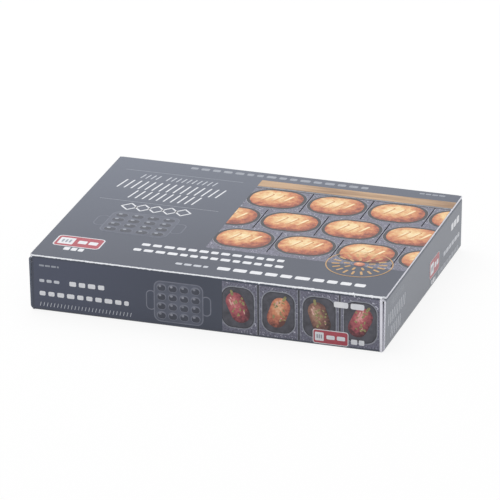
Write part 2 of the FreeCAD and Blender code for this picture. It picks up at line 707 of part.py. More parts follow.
def leaflet():
    """Instruction leaflet, folded once, lying on the cover pad with its fold to the front."""
    body = new_body("leaflet")
    ply = "Sizes.leaflet_ply"
    hollow = "(Sizes.leaflet_open / 2)"
    bend = f"({hollow} + {ply})"
    back = "(Sizes.leaflet_width / 2)"
    front = f"({bend} - {back})"
    middle = f"({PAD_TOP} + {bend})"
    section = new_sketch(body, "YZ_Plane", "leaflet_section")
    closed_path(
        section,
        [
            (front, PAD_TOP),
            (back, PAD_TOP),
            (back, f"{PAD_TOP} + {ply}"),
            (front, f"{PAD_TOP} + {ply}", hollow, -1),
            (f"{front} - {hollow}", middle, hollow, -1),
            (front, f"{LEAFLET_TOP} - {ply}"),
            (back, f"{LEAFLET_TOP} - {ply}"),
            (back, LEAFLET_TOP),
            (front, LEAFLET_TOP, bend, 1),
            (f"-{back}", middle, bend, 1),
        ],
    )
    pad(body, section, "leaflet_sheet", "Sizes.leaflet_length", symmetric=True)
    return body


def build():
    bodies = [
        top_panel(),
        bottom_panel(),
        side_panel("front_panel", -1),
        side_panel("back_panel", 1),
        glue_flap(),
    ]
    for name, end in (("right", 1), ("left", -1)):
        bodies += [
            closure(f"{name}_closure", end),
            tuck_flap(f"{name}_tuck_flap", end),
            dust_flap(f"{name}_front_dust_flap", end, -1),
            dust_flap(f"{name}_back_dust_flap", end, 1),
            end_cradle(f"{name}_end_cradle", end),
        ]
    bodies += [takoyaki_plate(), inner_tray(), cover_pad(), leaflet()]
    doc.recompute()
    return bodies


def check(bodies):
    """Stops the build if any object failed or any sub-part isn't one good solid."""
    for item in doc.Objects:
        if "Invalid" in item.State or "Error" in item.State:
            raise RuntimeError(f"{item.Label} failed: {item.State}")
    for body in bodies:
        if body.Shape.isNull() or not body.Shape.isValid() or len(body.Shape.Solids) != 1:
            raise RuntimeError(f"{body.Label} has no valid single solid")


def main():
    bodies = build()
    check(bodies)
    os.makedirs("parts", exist_ok=True)
    for body in bodies:
        body.Shape.exportStep(os.path.join("parts", f"{body.Label}.step"))
        box = body.Shape.BoundBox
        print(f"{body.Label:26s} {box.XLength:7.1f} {box.YLength:7.1f} {box.ZLength:6.1f} mm")
    sizes = [2 * value(HALF_LENGTH), 2 * value(HALF_DEPTH), value(CARTON_TOP)]
    print("carton", " x ".join(f"{size:.1f}" for size in sizes), "mm")


main()
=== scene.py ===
import math
import random

import bmesh
import bpy
from mathutils import Matrix, Vector


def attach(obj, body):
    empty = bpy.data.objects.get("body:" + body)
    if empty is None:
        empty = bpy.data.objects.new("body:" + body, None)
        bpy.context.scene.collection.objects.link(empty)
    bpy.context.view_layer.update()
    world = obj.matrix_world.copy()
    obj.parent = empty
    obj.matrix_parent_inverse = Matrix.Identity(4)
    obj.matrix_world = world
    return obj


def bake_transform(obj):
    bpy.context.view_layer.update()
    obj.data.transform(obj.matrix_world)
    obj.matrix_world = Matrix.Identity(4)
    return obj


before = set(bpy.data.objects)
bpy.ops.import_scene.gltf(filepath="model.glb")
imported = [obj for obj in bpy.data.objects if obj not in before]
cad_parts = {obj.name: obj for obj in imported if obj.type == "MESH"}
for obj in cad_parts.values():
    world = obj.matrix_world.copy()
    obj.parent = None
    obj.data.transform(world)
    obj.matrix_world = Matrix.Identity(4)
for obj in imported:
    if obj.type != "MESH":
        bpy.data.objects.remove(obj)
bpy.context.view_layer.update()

mm = 0.001

# A takoyaki plate in its printed tuck-end carton. Lengths in the dictionaries are millimetres.

carton = {
    "halfLength": 136.0,
    "halfDepth": 102.0,
    "dustFace": 134.0,  # outside of a folded dust flap
    "panelEnd": 132.6,  # where the front and back panels stop
    "height": 43.6,
    "board": 1.4,       # thin fluted board
    "endFold": 3.4,     # radius of the fold at an end panel's foot
    "lean": 1.0,        # degrees that a tucked end leans out
}
packing = {
    "leafletHalf": (74.0, 52.5),
    "leafletTop": 38.4,
    "trayWall": 94.3,   # from the middle to the inside of the tray's walls
    "trayFoot": 1.4,
    "padFoot": 32.4,
    "padMiddle": 34.9,  # between its two walls of flutes
}
noiseSpan = (0.3, 0.7)      # most of a noise texture's values lie between these
waveRepeat = math.tau / 20  # a wave texture of scale 1 repeats after this


def srgb(code):  # "#rrggbb" as linear RGBA
    parts = [int(code[i:i + 2], 16) / 255 for i in (1, 3, 5)]
    linear = [c / 12.92 if c <= 0.04045 else ((c + 0.055) / 1.055) ** 2.4 for c in parts]
    return (*linear, 1.0)


def addNode(tree, kind, inputs=None, **settings):  # a node among the inputs stands for its first output
    node = tree.nodes.new(f"ShaderNode{kind}")
    for key, value in settings.items():
        setattr(node, key, value)
    for key, value in (inputs or {}).items():
        if isinstance(value, bpy.types.Node):
            value = value.outputs[0]
        if isinstance(value, bpy.types.NodeSocket):
            tree.links.new(value, node.inputs[key])
        else:
            node.inputs[key].default_value = value
    return node


def addPiece(name, shape, material):  # turns a bmesh into an object
    mesh = bpy.data.meshes.new(name)
    shape.to_mesh(mesh)
    shape.free()
    mesh.materials.append(material)
    piece = bpy.data.objects.new(name, mesh)
    bpy.context.scene.collection.objects.link(piece)
    return piece


def newMaterial(name):
    material = bpy.data.materials.new(name)
    material.use_nodes = True
    tree = material.node_tree
    tree.nodes.clear()
    surface = addNode(tree, "BsdfPrincipled")
    addNode(tree, "OutputMaterial", {"Surface": surface})
    return material, tree, surface


# Satin-laminated ink on white-lined fluted board: dark and even, with a soft sheen at low angles.
# Creases crack to the white paper, cut edges and the inside stay the white of the liner.
printedBoard = {
    "ink": ("#3c4252", "#424858"),
    "endLitInk": ("#545c6c", "#5c6473"),  # painted light: the end panels take a lighter ink, standing in for the brighter light and sheen they catch
    "liner": "#f0f0f8",
    "linerDark": "#e6e6f0",
    "crease": "#eef0f5",     # cracked paper, a little soiled
    "facing": 0.4,           # a face turned outwards more than this is printed
    "roughness": 0.27,
    "linerRoughness": 0.75,
    "ior": 1.5,
    "tonePatch": 60.0,
    "grain": 0.5,            # paper grain, drawn coarser than the real 0.1
    "grainShare": 0.3,       # of the grain in the relief, the rest is the flutes
    "flutePitch": 3.2,
    "fluteHeight": 0.006,
    "fluteWaver": 0.4,
    "bump": 0.25,
    # painted shade: the colour of the hollows between the flutes in a cut edge
    "fluteShade": "#bdbdc9",
}
sheenFades = {  # painted sheen: the ground is made paler towards the back left of the top and the left of the front, standing in for the laminate's brighter sheen there
    "top": {"way": (-0.45, 1.0, 0.0), "from": -60, "to": 165, "ink": "#5f6676"},
    "front": {"way": (-1.0, 0.0, 0.0), "from": 15, "to": 105, "ink": "#474d61"},
}
creases = [  # where the ink is cracked: the crease's line, how far the bare paper reaches and how raggedly
    {"at": (0, -101.4, 43.7), "across": (0, 1, 1), "reach": 0.8, "ragged": 0.16, "chips": 1.8},
    {"at": (0, 102, 43.6), "across": (0, 1, 1), "reach": 0.86, "ragged": 0.12, "chips": 0.3},
    {"at": (136.9, 0, 43.6), "across": (1, 0, 1), "reach": 0.12, "ragged": 0.06, "chips": 0.3},
    {"at": (135.1, -101.2, 42.9), "across": (1, 1, 1), "reach": 1.7, "ragged": 0.4, "chips": 1.0},
    {"at": (-135.1, -101.2, 42.9), "across": (1, 1, 1), "reach": 1.5, "ragged": 0.3, "chips": 1.0},
]
chipping = {
    "period": 1.6,        # of the ragged edge
    "chipPeriod": 5.0,
    "chipNoise": (0.54, 0.68),  # chips begin and are largest at these values of the noise
    "fewest": 0.18,       # share of a chip's reach where the noise is low
    "from": 10.0,         # the right part is handled more: from here
    "to": 136.0,          # to here
    "unhandled": 0.12,
    "blur": 0.12,
}


def wornAway(tree, place):  # 1 where the crease is bare, 0 where ink holds
    c = chipping
    split = addNode(tree, "SeparateXYZ", {0: place})
    fine = addNode(tree, "TexNoise", {"Vector": place, "Scale": 1 / (c["period"] * mm), "Detail": 3.0})
    coarse = addNode(tree, "TexNoise", {"Vector": place, "Scale": 1 / (c["chipPeriod"] * mm),
                                        "Detail": 4.0, "Roughness": 0.6})
    handled = addNode(tree, "MapRange", {0: split.outputs["X"], 1: c["from"] * mm, 2: c["to"] * mm,
                                         3: c["unhandled"], 4: 1.0})
    chip = addNode(tree, "MapRange", {0: coarse.outputs["Fac"], 1: c["chipNoise"][0], 2: c["chipNoise"][1],
                                      3: c["fewest"], 4: 1.0})
    chip = addNode(tree, "Math", {0: chip, 1: handled}, operation="MULTIPLY")
    worn = 0.0
    for crease in creases:
        away = addNode(tree, "VectorMath", {0: place, 1: [v * mm for v in crease["at"]]},
                       operation="SUBTRACT")
        across = addNode(tree, "VectorMath", {0: away, 1: crease["across"]}, operation="MULTIPLY")
        gap = addNode(tree, "VectorMath", {0: across}, operation="LENGTH")
        reach = addNode(tree, "MapRange", {0: fine.outputs["Fac"], 1: noiseSpan[0], 2: noiseSpan[1],
                                           3: (crease["reach"] - crease["ragged"]) * mm,
                                           4: (crease["reach"] + crease["ragged"]) * mm})
        reach = addNode(tree, "Math", {0: chip, 1: crease["chips"] * mm, 2: reach},
                        operation="MULTIPLY_ADD")
        bare = addNode(tree, "Math", {0: reach, 1: gap.outputs["Value"]}, operation="SUBTRACT")
        soft = addNode(tree, "MapRange", {0: bare, 1: -c["blur"] * mm, 2: c["blur"] * mm})
        worn = addNode(tree, "Math", {0: worn, 1: soft}, operation="MAXIMUM")
    return worn


cutFlutes = {  # the wave of paper in a cut edge, in shares of the board's half thickness
    "swing": -0.6,
    "paper": (0.14, 0.26),  # half thickness of the wave's paper, sharp and blurred
    "walls": 0.78,          # where the flat walls begin
    "turned": 0.3,          # a face turned less than this through the board is a cut edge
}


def flutedEdge(tree, coords, edge):  # 1 in the hollows between the flutes of a cut edge, where painted shade goes
    f = cutFlutes
    split = addNode(tree, "SeparateXYZ", {0: coords.outputs["Object"]})
    facing = addNode(tree, "SeparateXYZ", {0: coords.outputs["Normal"]})
    through = addNode(tree, "Math", {0: split.outputs[edge["through"]]}, operation="ABSOLUTE")
    share = addNode(tree, "MapRange", {0: through, 1: edge["start"] * mm,
                                       2: (edge["start"] + edge["board"]) * mm, 3: -1.0, 4: 1.0})
    along = addNode(tree, "VectorMath", {0: coords.outputs["Object"], 1: edge["along"]},
                    operation="DOT_PRODUCT")
    phase = addNode(tree, "Math", {0: along.outputs["Value"], 1: math.tau / (edge["pitch"] * mm)},
                    operation="MULTIPLY")
    wave = addNode(tree, "Math", {0: phase}, operation="SINE")
    medium = addNode(tree, "Math", {0: wave, 1: f["swing"], 2: share}, operation="MULTIPLY_ADD")
    beside = addNode(tree, "Math", {0: medium}, operation="ABSOLUTE")
    clear = addNode(tree, "MapRange", {0: beside, 1: f["paper"][0], 2: f["paper"][1]})
    depth = addNode(tree, "Math", {0: share}, operation="ABSOLUTE")
    inside = addNode(tree, "Math", {0: depth, 1: f["walls"]}, operation="LESS_THAN")
    turned = addNode(tree, "Math", {0: facing.outputs[edge["through"]]}, operation="ABSOLUTE")
    cut = addNode(tree, "Math", {0: turned, 1: f["turned"]}, operation="LESS_THAN")
    shadedHollow = addNode(tree, "Math", {0: clear, 1: inside}, operation="MULTIPLY")
    return addNode(tree, "Math", {0: shadedHollow, 1: cut}, operation="MULTIPLY")


def printedLiner(name, outward, bySide=False, bleed=None, edge=None, paintedSheen=None, ink=printedBoard["ink"]):
    b = printedBoard
    material, tree, surface = newMaterial(name)
    coords = addNode(tree, "TexCoord")
    place = coords.outputs["Object"]
    split = addNode(tree, "SeparateXYZ", {0: place})
    direction = addNode(tree, "CombineXYZ", dict(enumerate(outward)))
    if bySide:  # folded at both long sides, so outwards turns with the side
        side = addNode(tree, "Math", {0: split.outputs["Y"]}, operation="SIGN")
        tree.links.new(side.outputs[0], direction.inputs[1])
    facing = addNode(tree, "VectorMath", {0: coords.outputs["Normal"], 1: direction},
                     operation="DOT_PRODUCT")
    printed = addNode(tree, "Math", {0: facing.outputs["Value"], 1: b["facing"]}, operation="GREATER_THAN")
    if bleed:  # an axis, and how near to the middle the ink runs in along it
        reach = addNode(tree, "Math", {0: split.outputs[bleed[0]]}, operation="ABSOLUTE")
        within = addNode(tree, "Math", {0: reach, 1: bleed[1] * mm}, operation="GREATER_THAN")
        printed = addNode(tree, "Math", {0: printed, 1: within}, operation="MULTIPLY")

    tone = addNode(tree, "TexNoise", {"Vector": place, "Scale": 1 / (b["tonePatch"] * mm), "Detail": 3.0})
    ground = addNode(tree, "Mix", {0: tone.outputs["Fac"], 6: srgb(ink[0]), 7: srgb(ink[1])},
                     data_type="RGBA")
    # painted sheen: the ground mixes towards a paler ink along the given way
    if paintedSheen:
        across = addNode(tree, "VectorMath", {0: place, 1: paintedSheen["way"]}, operation="DOT_PRODUCT")
        paintedSheenShare = addNode(tree, "MapRange", {0: across.outputs["Value"], 1: paintedSheen["from"] * mm,
                                           2: paintedSheen["to"] * mm})
        ground = addNode(tree, "Mix", {0: paintedSheenShare, 6: ground.outputs[2], 7: srgb(paintedSheen["ink"])},
                         data_type="RGBA")
    worn = wornAway(tree, place)
    ground = addNode(tree, "Mix", {0: worn, 6: ground.outputs[2], 7: srgb(b["crease"])}, data_type="RGBA")

    grain = addNode(tree, "TexNoise", {"Vector": place, "Scale": 1 / (b["grain"] * mm), "Detail": 2.0})
    paper = addNode(tree, "Mix", {0: grain.outputs["Fac"], 6: srgb(b["linerDark"]), 7: srgb(b["liner"])},
                    data_type="RGBA")
    # painted shade in the hollows between the flutes of cut edges
    if edge:
        shadedHollow = flutedEdge(tree, coords, edge)
        paper = addNode(tree, "Mix", {0: shadedHollow, 6: paper.outputs[2], 7: srgb(b["fluteShade"])},
                        data_type="RGBA")
    colour = addNode(tree, "Mix", {0: printed, 6: paper.outputs[2], 7: ground.outputs[2]}, data_type="RGBA")

    kept = addNode(tree, "Math", {0: 1.0, 1: worn}, operation="SUBTRACT")
    glossy = addNode(tree, "Math", {0: printed, 1: kept}, operation="MULTIPLY")
    sheen = addNode(tree, "MapRange", {0: glossy, 3: b["linerRoughness"], 4: b["roughness"]})
    ridges = addNode(tree, "TexWave", {"Vector": place, "Scale": waveRepeat / (b["flutePitch"] * mm),
                                       "Distortion": b["fluteWaver"], "Detail": 1.0}, bands_direction="X")
    relief = addNode(tree, "Math", {0: grain.outputs["Fac"], 1: b["grainShare"], 2: ridges.outputs["Fac"]},
                     operation="MULTIPLY_ADD")
    bump = addNode(tree, "Bump", {"Strength": b["bump"], "Distance": b["fluteHeight"] * mm,
                                  "Height": relief})
    for key, value in (("Base Color", colour.outputs[2]), ("Roughness", sheen.outputs[0]),
                       ("Normal", bump.outputs[0])):
        tree.links.new(value, surface.inputs[key])
    surface.inputs["IOR"].default_value = b["ior"]
    return material


thin, pitch = carton["board"], printedBoard["flutePitch"]
closureEdge = {"through": "X", "start": carton["halfLength"] - thin, "board": thin, "along": (0, 0, 1),
               "pitch": pitch}
boards = {  # an outward way longer than 1 takes the ink further round a fold
    # the top and front carry the painted sheen of the paler fades
    "top": printedLiner("satinPrintTop", (0, 1, 1), bySide=True, paintedSheen=sheenFades["top"]),
    "bottom": printedLiner("satinPrintBottom", (0, 1, -1), bySide=True),
    "front": printedLiner("satinPrintFront", (0, -1, 0), paintedSheen=sheenFades["front"]),
    "back": printedLiner("satinPrintBack", (0, 1, 0)),
    # the end panels carry the lighter ink of painted light
    "right": printedLiner("satinPrintRight", (2.2, 0, 1), edge=closureEdge, ink=printedBoard["endLitInk"]),
    "left": printedLiner("satinPrintLeft", (-2.2, 1, 1), bySide=True, ink=printedBoard["endLitInk"]),
    "rightDust": printedLiner("whiteLinerRightDust", (1, 0, 0), bleed=("Y", 103)),
    "leftDust": printedLiner("whiteLinerLeftDust", (-1, 1, 0), bySide=True, bleed=("Y", 98.5)),
    "rightTuck": printedLiner("whiteLinerRightTuck", (1, 0, 1), bleed=("X", 131.0)),
    "leftTuck": printedLiner("whiteLinerLeftTuck", (-1, 0, 1), bleed=("X", 131.0)),
    "rightCrease": printedLiner("creaseLinerRight", (1, 0, -1)),
    "leftCrease": printedLiner("creaseLinerLeft", (-1, 0, -1)),
    "leftDustCrease": printedLiner("creaseLinerLeftDust", (-1, 1, 0), bySide=True),
}


# Printing ink under the same laminate: flat colour with a trace of mottle, as glossy as its ground.
def underLaminate(tree, surface, colour):
    b = printedBoard
    worn = wornAway(tree, addNode(tree, "TexCoord").outputs["Object"])
    kept = addNode(tree, "Mix", {0: worn, 6: colour, 7: srgb(b["crease"])}, data_type="RGBA")
    sheen = addNode(tree, "MapRange", {0: worn, 3: b["roughness"], 4: b["linerRoughness"]})
    tree.links.new(kept.outputs[2], surface.inputs["Base Color"])
    tree.links.new(sheen.outputs[0], surface.inputs["Roughness"])
    surface.inputs["IOR"].default_value = b["ior"]


def printInk(name, dark, light, patch=4.0, stretch=(1, 1, 1), specks=None):
    material, tree, surface = newMaterial(name)
    coords = addNode(tree, "TexCoord")
    drawn = addNode(tree, "Mapping", {"Vector": coords.outputs["Object"], "Scale": stretch})
    mottle = addNode(tree, "TexNoise", {"Vector": drawn, "Scale": 1 / (patch * mm), "Detail": 4.0})
    spread = addNode(tree, "MapRange", {0: mottle.outputs["Fac"], 1: noiseSpan[0], 2: noiseSpan[1]})
    colour = addNode(tree, "Mix", {0: spread, 6: srgb(dark), 7: srgb(light)}, data_type="RGBA")
    if specks:  # dots: their colour, size and the values of the noise at which they begin and are full
        fine = addNode(tree, "TexNoise", {"Vector": coords.outputs["Object"], "Scale": 1 / (specks[1] * mm),
                                          "Detail": 1.0})
        dots = addNode(tree, "MapRange", {0: fine.outputs["Fac"], 1: specks[2], 2: specks[3]})
        colour = addNode(tree, "Mix", {0: dots, 6: colour.outputs[2], 7: srgb(specks[0])}, data_type="RGBA")
    underLaminate(tree, surface, colour.outputs[2])
    return material


toasting = {
    "lit": (-0.22, 0.32, 0.0),  # the palest place, in half sizes from the middle
    "reach": (-0.05, 1.35),     # how far from it the colours begin and end
}


# A printed picture of something round and toasted: pale where light falls, deeper round its lower side.
def roundedInk(name, patch, uneven, *codes):  # codes: where along the shading each colour lies
    material, tree, surface = newMaterial(name)
    coords = addNode(tree, "TexCoord")
    lit = addNode(tree, "VectorMath", {0: coords.outputs["UV"], 1: toasting["lit"]}, operation="SUBTRACT")
    far = addNode(tree, "VectorMath", {0: lit}, operation="LENGTH")
    toast = addNode(tree, "TexNoise", {"Vector": coords.outputs["Object"], "Scale": 1 / (patch * mm),
                                       "Detail": 8.0, "Roughness": 0.7})
    patches = addNode(tree, "MapRange", {0: toast.outputs["Fac"], 1: noiseSpan[0], 2: noiseSpan[1],
                                         3: -uneven, 4: uneven})
    depth = addNode(tree, "Math", {0: far.outputs["Value"], 1: patches}, operation="ADD")
    shade = addNode(tree, "MapRange", {0: depth, 1: toasting["reach"][0], 2: toasting["reach"][1]})
    ramp = addNode(tree, "ValToRGB", {0: shade})
    elements = ramp.color_ramp.elements
    while len(elements) < len(codes):
        elements.new(0.5)
    for element, (at, code) in zip(elements, codes):
        element.position = at
        element.color = srgb(code)
    underLaminate(tree, surface, ramp.outputs[0])
    return material


inks = {
    "lightInk": printInk("lightGreyInk", "#b9bdc6", "#c9ccd4"),
    "whiteInk": printInk("whiteInk", "#dadce2", "#e6e7eb"),
    "paleInk": printInk("paleGreyInk", "#8c919c", "#9ba0aa"),
    "faintInk": printInk("faintGreyInk", "#5a606f", "#6a6f7e"),
    "iconInk": printInk("iconOutlineInk", "#6b6e7d", "#7c7f8d"),
    "plateInk": printInk("iconPlateInk", "#4e5362", "#5b6070", 12.0),
    "plateDark": printInk("iconCupInk", "#343845", "#3e4250", 12.0),
    "wellInk": printInk("wellInk", "#3a3a43", "#55555f", 5.0),
    "redInk": printInk("signalRedInk", "#a4404e", "#b04a57"),
    "goldInk": printInk("goldInk", "#b98d5c", "#cba36c", 2.0),
    "ironInk": printInk("griddleInk", "#4c4c5a", "#7e7e92", 1.2, specks=("#c8c8d6", 1.3, 0.66, 0.72)),
    "ironDark": printInk("socketInk", "#24252c", "#34353e", 3.0),
    "ironRim": printInk("griddleRimInk", "#747783", "#9a9ca7", 3.0),
    "woodInk": printInk("tableInk", "#84603f", "#c9a681", 5.0, (0.1, 1.0, 1.0)),
    "rollInk": roundedInk("toastedRollInk", 5.0, 0.4, (0.0, "#f3e2b4"), (0.3, "#e9c48c"), (0.55, "#d4915f"),
                          (0.8, "#b4613f"), (1.0, "#7a3728")),
    "crustInk": printInk("rollCrustInk", "#b8703f", "#cc8a56", 1.5),
    "scoreInk": roundedInk("rollScoreInk", 3.0, 0.3, (0.0, "#f8ecc8"), (0.6, "#edcf9c"), (1.0, "#d09a6c")),
    "pepperInk": roundedInk("redPepperInk", 2.6, 0.42, (0.0, "#e2a39d"), (0.3, "#b86066"), (0.7, "#90444e"),
                            (1.0, "#4a242c")),
    "carrotInk": roundedInk("orangePepperInk", 2.6, 0.42, (0.0, "#f1c9a2"), (0.35, "#d58d68"),
                            (0.75, "#aa6150"), (1.0, "#613832")),
    "onionInk": roundedInk("brownOnionInk", 2.6, 0.42, (0.0, "#cdb195"), (0.35, "#9a705e"),
                           (0.75, "#694641"), (1.0, "#3a2927")),
    "herbInk": printInk("herbInk", "#6c6b42", "#aaa26e", 0.8),
    "shineInk": printInk("glazeShineInk", "#c98f86", "#e6c3b4", 1.0),
}
print("printed finishes ready")


layers = {
    "step": 0.02,   # each layer of ink stands this much above the one below
    "root": 0.05,   # and starts this deep in the board
}


def faceFrame(corner, right, up):  # from millimetres right, up and out of a face to the part's frame
    right, up = Vector(right), Vector(up)
    turned = Matrix((right, up, right.cross(up))).transposed().to_4x4()
    return Matrix.Translation(Vector(corner) * mm) @ turned @ Matrix.Scale(mm, 4)


hl, hd, height = carton["halfLength"], carton["halfDepth"], carton["height"]
lean = math.radians(carton["lean"])
rightUp = Vector((math.sin(lean), 0, math.cos(lean)))
leftUp = Vector((-math.sin(lean), 0, math.cos(lean)))
leafletCorner = (-packing["leafletHalf"][0], packing["leafletHalf"][1], packing["leafletTop"])
faces = {
    "top": (faceFrame((-hl, hd, height), (1, 0, 0), (0, 1, 0)), "sleeve"),
    "front": (faceFrame((-hl, -hd, height), (1, 0, 0), (0, 0, 1)), "sleeve"),
    "back": (faceFrame((hl, hd, height), (-1, 0, 0), (0, 0, 1)), "sleeve"),
    "bottom": (faceFrame((-hl, -hd, 0), (1, 0, 0), (0, -1, 0)), "sleeve"),
    "rightEnd": (faceFrame(Vector((hl, -hd, 0)) + rightUp * height, (0, 1, 0), rightUp), "right_closure"),
    "leftEnd": (faceFrame(Vector((-hl, hd, 0)) + leftUp * height, (0, -1, 0), leftUp), "left_closure"),
    "leaflet": (faceFrame(leafletCorner, (1, 0, 0), (0, 1, 0)), "sleeve"),
}
sheets = {}


# A flat shape of ink between two corners, in millimetres right of and below a face's upper left corner.
def block(face, ink, low, high, radius=0.3, line=0.0, slant=0.0, turn=0.0, layer=1, window=None, rounds=4):
    width, tall = high[0] - low[0], high[1] - low[1]
    shape = bmesh.new()
    uv = shape.loops.layers.uv.new("UVMap")
    bmesh.ops.create_grid(shape, x_segments=1, y_segments=1, size=0.5)
    bmesh.ops.scale(shape, vec=(width, tall, 1), verts=shape.verts)
    if radius:
        most = 0.499 * min(width, tall)  # just under half the shorter side, so the corners don't meet
        bmesh.ops.bevel(shape, geom=shape.verts[:], offset=min(radius, most), segments=rounds, profile=0.5,
                        affect="VERTICES", offset_type="OFFSET", material=-1)
    for f in shape.faces:
        for loop in f.loops:
            loop[uv].uv = (loop.vert.co.x / width * 2, loop.vert.co.y / tall * 2)
    if line:  # an outline only
        inner = shape.faces[:]
        bmesh.ops.inset_region(shape, faces=inner, thickness=line, use_even_offset=True, use_boundary=True)
        bmesh.ops.delete(shape, geom=inner, context="FACES")
    shear = Matrix.Identity(4)
    shear[0][1] = slant
    placed = Matrix.Translation(((low[0] + high[0]) / 2, -(low[1] + high[1]) / 2, 0))
    placed = placed @ Matrix.Rotation(math.radians(turn), 4, "Z") @ shear
    bmesh.ops.transform(shape, matrix=placed, verts=shape.verts)
    if window:
        for at, out in (((window[0], 0, 0), (-1, 0, 0)), ((window[2], 0, 0), (1, 0, 0)),
                        ((0, -window[1], 0), (0, 1, 0)), ((0, -window[3], 0), (0, -1, 0))):
            bmesh.ops.bisect_plane(shape, geom=shape.verts[:] + shape.edges[:] + shape.faces[:], dist=1e-5,
                                   plane_co=at, plane_no=out, clear_outer=True)
    if shape.faces:
        bmesh.ops.translate(shape, vec=(0, 0, -layers["root"]), verts=shape.verts)
        grown = bmesh.ops.extrude_face_region(shape, geom=shape.faces[:])["geom"]
        bmesh.ops.translate(shape, vec=(0, 0, layers["root"] + layer * layers["step"]),
                            verts=[g for g in grown if isinstance(g, bmesh.types.BMVert)])
        bmesh.ops.recalc_face_normals(shape, faces=shape.faces)
        mesh = bpy.data.meshes.new("shape")
        shape.to_mesh(mesh)
        if (face, ink) not in sheets:
            sheets[face, ink] = bmesh.new()
        sheets[face, ink].from_mesh(mesh)
        bpy.data.meshes.remove(mesh)
    shape.free()


def around(face, ink, middle, half, **style):  # a block by its middle and half sizes
    block(face, ink, (middle[0] - half[0], middle[1] - half[1]), (middle[0] + half[0], middle[1] + half[1]),
          **style)


def barLine(face, ink, low, high, word, gap, seed, radius, layer=1):  # a row of blocks of uneven length
    draw = random.Random(seed)
    at = low[0]
    while at < high[0] - word[0] * 0.5:
        end = min(at + draw.uniform(*word), high[0])
        block(face, ink, (at, low[1]), (end, high[1]), radius=radius, layer=layer)
        at = end + gap


def hatchBand(face, ink, low, high, pitch, stroke, slant, skips=()):  # evenly spaced slanted strokes
    for i in range(int((high[0] - low[0] - stroke) / pitch) + 1):
        if i not in skips:
            at = low[0] + i * pitch
            block(face, ink, (at, low[1]), (at + stroke, high[1]), radius=stroke / 2, slant=slant)


plateIcon = {
    "loop": 0.12,         # a loop's reach, as a share of the width
    "loopInset": 0.26,    # shares of the height
    "corner": 0.16,
    "innerCorner": 0.14,
    "loopCorner": 0.6,    # share of the loop's reach
    "cup": 0.42,          # half sizes, as shares of the pitch
    "glint": 0.12,
    "cupWall": 0.7,       # shares of the line's width
    "cupDrop": 0.5,
    "glintAt": (0.3, 0.35),
}


def printPlateIcon(face, inks, low, high, line):  # a plate from above: frame, two loops and sixteen cups
    p = plateIcon
    width, tall = high[0] - low[0], high[1] - low[1]
    loop, inset = width * p["loop"], tall * p["loopInset"]
    for left, right in ((low[0], low[0] + loop + 2 * line), (high[0] - loop - 2 * line, high[0])):
        block(face, inks[0], (left, low[1] + inset), (right, high[1] - inset),
              radius=loop * p["loopCorner"], line=line, rounds=6)
    block(face, inks[0], (low[0] + loop, low[1]), (high[0] - loop, high[1]), radius=tall * p["corner"],
          layer=2, rounds=6)
    block(face, inks[1], (low[0] + loop + line, low[1] + line), (high[0] - loop - line, high[1] - line),
          radius=tall * p["innerCorner"], layer=3, rounds=6)
    stepX, stepY = (width - 2 * loop - 4 * line) / 4, (tall - 4 * line) / 4
    for i in range(4):
        for j in range(4):
            middle = (low[0] + loop + 2 * line + stepX * (i + 0.5), low[1] + 2 * line + stepY * (j + 0.5))
            half = (stepX * p["cup"], stepY * p["cup"])
            around(face, inks[0], middle, half, radius=half[1], layer=4, rounds=5)
            around(face, inks[2], (middle[0], middle[1] + line * p["cupDrop"]),
                   (half[0] - line * p["cupWall"], half[1] - line), radius=half[1] - line, layer=5,
                   rounds=5)
            around(face, inks[3],
                   (middle[0] - half[0] * p["glintAt"][0], middle[1] - half[1] * p["glintAt"][1]),
                   (stepX * p["glint"], stepY * p["glint"]), radius=3, layer=6)


badge = {  # shares of the badge's height
    "corner": 0.18,
    "border": 0.05,
    "endBorder": 0.02,              # thinner on the end panels
    "square": 0.6,
    "squareLeft": 0.15,
    "stripeHalf": (0.044, 0.143),
    "stripesAt": (0.26, 0.5, 0.74),  # shares of the square
    "blocksLeft": 0.13,             # from the square
    "blocksRight": 0.14,            # from the badge's right end
    "blocks": 2,
    "blockAcross": (0.08, 0.88),    # shares of a block's room
    "blockDown": (0.26, 0.74),      # shares of the square
}


def printBadge(face, low, high, layer=4, border=badge["border"]):  # red, with a striped square and blocks
    b = badge
    tall = high[1] - low[1]
    edge, side = tall * border, tall * b["square"]
    block(face, "whiteInk", low, high, radius=tall * b["corner"], layer=layer, rounds=6)
    block(face, "redInk", (low[0] + edge, low[1] + edge), (high[0] - edge, high[1] - edge),
          radius=tall * b["corner"] - edge, layer=layer + 1, rounds=6)
    left, top = low[0] + tall * b["squareLeft"], low[1] + (tall - side) / 2
    block(face, "whiteInk", (left, top), (left + side, top + side), radius=0.6, layer=layer + 2)
    for share in b["stripesAt"]:
        around(face, "paleInk", (left + side * share, top + side / 2),
               (tall * b["stripeHalf"][0], tall * b["stripeHalf"][1]), radius=2, layer=layer + 3)
    start = left + side + tall * b["blocksLeft"]
    room = (high[0] - tall * b["blocksRight"] - start) / b["blocks"]
    for i in range(b["blocks"]):
        across = [start + room * (i + share) for share in b["blockAcross"]]
        down = [top + side * share for share in b["blockDown"]]
        block(face, "whiteInk", (across[0], down[0]), (across[1], down[1]), radius=0.9, layer=layer + 2)


